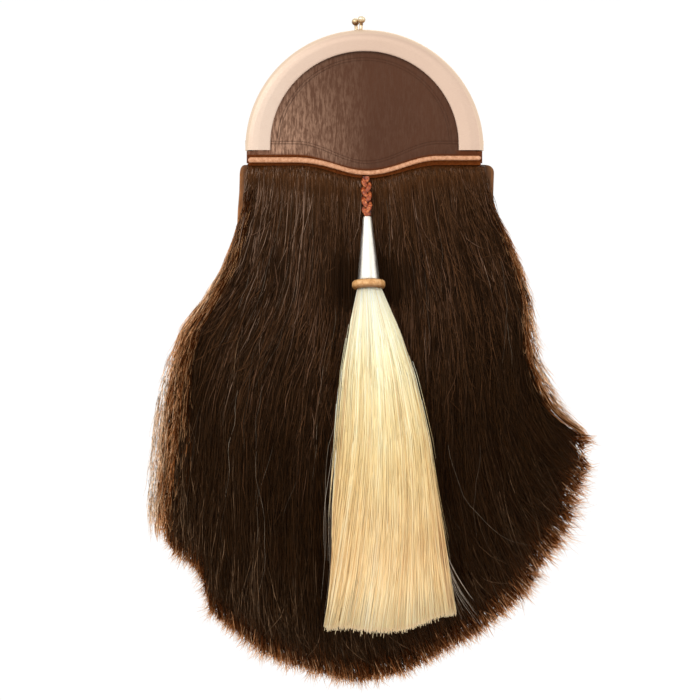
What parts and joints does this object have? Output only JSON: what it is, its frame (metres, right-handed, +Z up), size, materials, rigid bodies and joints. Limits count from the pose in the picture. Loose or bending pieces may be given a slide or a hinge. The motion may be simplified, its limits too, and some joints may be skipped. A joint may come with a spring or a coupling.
{
  "type": "horsehair sporran pouch",
  "caption": "Leather sporran pouch in a semicircular metal purse frame with a ball clasp, a long dark horsehair front and one pale tassel under a metal cone.",
  "frame": {"origin": "middle of the strap tunnel on the back, at its upper inner face, where the sporran strap carries the pouch", "axes": "+X to the right seen from the front, +Y towards the wearer, +Z up"},
  "size_m": [0.303, 0.0849, 0.4526],
  "materials": {
    "satin_metal": "warm satin nickel",
    "polished_metal": "polished",
    "dark_leather": "dark brown, fine upright grain",
    "brown_leather": "brown, smooth",
    "tan_leather": "tan, rolled",
    "plait_leather": "red-brown, glossy",
    "golden_leather": "golden tan, rolled",
    "dark_horsehair": "black-brown hair with a soft gloss",
    "pale_horsehair": "cream hair with a soft gloss"
  },
  "bodies": {
    "root": {"front_frame": "satin_metal", "back_frame": "satin_metal", "hinge_pin_left": "satin_metal", "hinge_pin_right": "satin_metal", "cantle_leather": "dark_leather", "piping": "tan_leather", "front_panel": "dark_leather", "gusset": "brown_leather", "back_panel": "dark_leather", "belt_loop": "dark_leather", "hair": "dark_horsehair", "braid": "plait_leather", "cone": "polished_metal", "ring": "golden_leather", "tassel": "pale_horsehair"}
  },
  "joints": []
}
